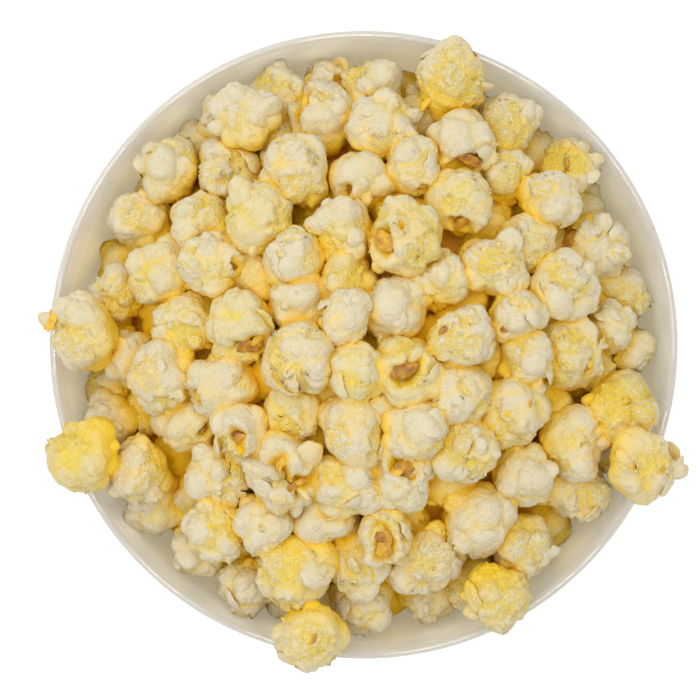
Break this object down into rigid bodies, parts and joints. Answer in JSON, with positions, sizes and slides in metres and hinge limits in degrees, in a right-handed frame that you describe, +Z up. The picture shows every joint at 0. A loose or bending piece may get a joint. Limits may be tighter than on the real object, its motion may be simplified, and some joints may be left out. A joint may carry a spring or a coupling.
{
  "type": "bucket of popcorn",
  "caption": "Round white glazed bucket, open at the top and heaped past its rim with round cream and yellow popped corn; it stands free on a foot ring.",
  "frame": {"origin": "on the surface that the bucket stands on, under the middle of the bucket", "axes": "+Z up, out of the bucket's mouth; +X and +Y are right and up in a view from above, with the bucket as it was pictured"},
  "size_m": [0.2492, 0.2509, 0.1956],
  "materials": {
    "glaze": "gloss",
    "popcorn": "matte"
  },
  "bodies": {
    "root": {"bucket": "glaze", "popcorn_heap": "popcorn"}
  },
  "joints": []
}
